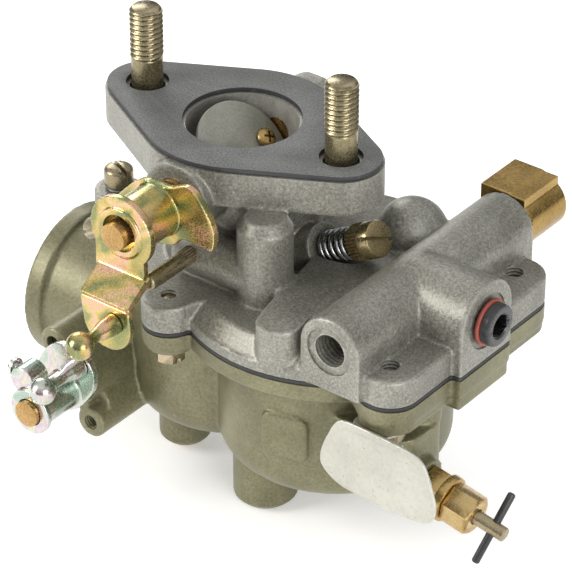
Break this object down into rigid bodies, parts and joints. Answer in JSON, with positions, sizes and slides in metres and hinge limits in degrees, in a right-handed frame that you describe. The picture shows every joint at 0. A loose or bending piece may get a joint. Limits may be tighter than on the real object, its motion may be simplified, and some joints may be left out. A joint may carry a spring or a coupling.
{
  "type": "carburetor",
  "caption": "Updraft carburetor with a flanged throttle body over a fuel bowl and air horn, throttle and choke levers, idle screw, adjusting needle and fuel elbow.",
  "frame": {"origin": "centre of the throttle bore on the manifold face of the flange gasket", "axes": "+Z out of the manifold face and up, +X from the air horn towards the fuel inlet, +Y along the throttle and choke shafts, away from their levers"},
  "size_m": [0.1705, 0.1383, 0.1349],
  "materials": {
    "cast grey": "as cast, matte",
    "olive casting": "olive chromate on a casting, satin",
    "gasket": "pressed fibre, matte",
    "yellow zinc": "yellow chromate zinc, satin",
    "silver zinc": "clear chromate zinc, satin",
    "spring steel": "bright",
    "copper shaft": "turned",
    "butterfly plate": "dull",
    "brass": "machined",
    "black plug": "black oxide",
    "red seal": "smooth",
    "aluminium tag": "rolled sheet"
  },
  "bodies": {
    "carburetor_body": {"throttle_body": "cast grey", "fuel_bowl": "olive casting", "flange_gasket": "gasket", "bowl_gasket": "gasket", "stud_left": "yellow zinc", "stud_right": "yellow zinc", "stop_pin": "yellow zinc", "throttle_bushing_front": "brass", "throttle_bushing_rear": "brass", "body_screw_left": "yellow zinc", "body_screw_front": "yellow zinc", "body_screw_rear": "yellow zinc", "body_screw_right_front": "yellow zinc", "body_screw_right_rear": "yellow zinc", "lock_washer_left": "spring steel", "lock_washer_front": "spring steel", "lock_washer_rear": "spring steel", "lock_washer_right_front": "spring steel", "lock_washer_right_rear": "spring steel", "fuel_inlet_elbow": "brass", "inlet_plug": "black plug", "inlet_plug_seal": "red seal", "inlet_valve_seat": "brass", "float_hinge_pin": "spring steel", "venturi": "cast grey", "main_discharge_nozzle": "brass", "main_jet": "brass", "idle_jet": "brass", "well_plug_front": "brass", "well_plug_rear": "brass", "needle_valve_housing": "brass", "packing_nut": "brass", "idle_spring": "spring steel", "id_tag": "aluminium tag"},
    "throttle": {"throttle_shaft": "copper shaft", "throttle_plate": "butterfly plate", "throttle_plate_screw_front": "brass", "throttle_plate_screw_rear": "brass", "throttle_lever": "yellow zinc", "throttle_clamp_screw": "yellow zinc", "throttle_ball_stud": "yellow zinc"},
    "choke": {"choke_shaft": "copper shaft", "choke_plate": "butterfly plate", "choke_plate_screw_front": "brass", "choke_plate_screw_rear": "brass", "choke_lever": "silver zinc", "choke_clamp_screw": "silver zinc", "choke_ball_stud": "silver zinc"},
    "idle_screw": {"idle_mixture_screw": "brass"},
    "adjusting_needle": {"main_adjusting_needle": "brass", "needle_t_bar": "black plug"},
    "float_arm": {"float": "brass", "float_lever": "brass"},
    "inlet_valve": {"inlet_needle": "spring steel"}
  },
  "joints": [
    {"name": "throttle_turn", "type": "hinge", "parent": "carburetor_body", "child": "throttle", "pos_m": [0, 0, -0.0116], "axis": [0, 1, 0], "range_deg": [-41, 43]},
    {"name": "choke_turn", "type": "hinge", "parent": "carburetor_body", "child": "choke", "pos_m": [-0.0275, 0, -0.0767], "axis": [0, 1, 0], "range_deg": [0, 76]},
    {"name": "idle_screw_turn", "type": "hinge", "parent": "carburetor_body", "child": "idle_screw", "pos_m": [0.0296, 0, -0.0313], "axis": [0.8746, 0, 0.4848], "range_deg": [-90, 90]},
    {"name": "needle_turn", "type": "hinge", "parent": "carburetor_body", "child": "adjusting_needle", "pos_m": [0.1062, -0.021, -0.0828], "axis": [0.9816, 0, -0.1908], "range_deg": [-180, 180]},
    {"name": "float_swing", "type": "hinge", "parent": "carburetor_body", "child": "float_arm", "pos_m": [0.0595, 0, -0.0505], "axis": [0, 1, 0], "range_deg": [0, 10]},
    {"name": "inlet_needle_lift", "type": "slide", "parent": "carburetor_body", "child": "inlet_valve", "axis": [0, 0, 1], "range_m": [0, 0.0014]}
  ],
  "couplings": [
    {"joint": "inlet_needle_lift", "follows": "float_swing", "m_per_rad": 0.008}
  ]
}
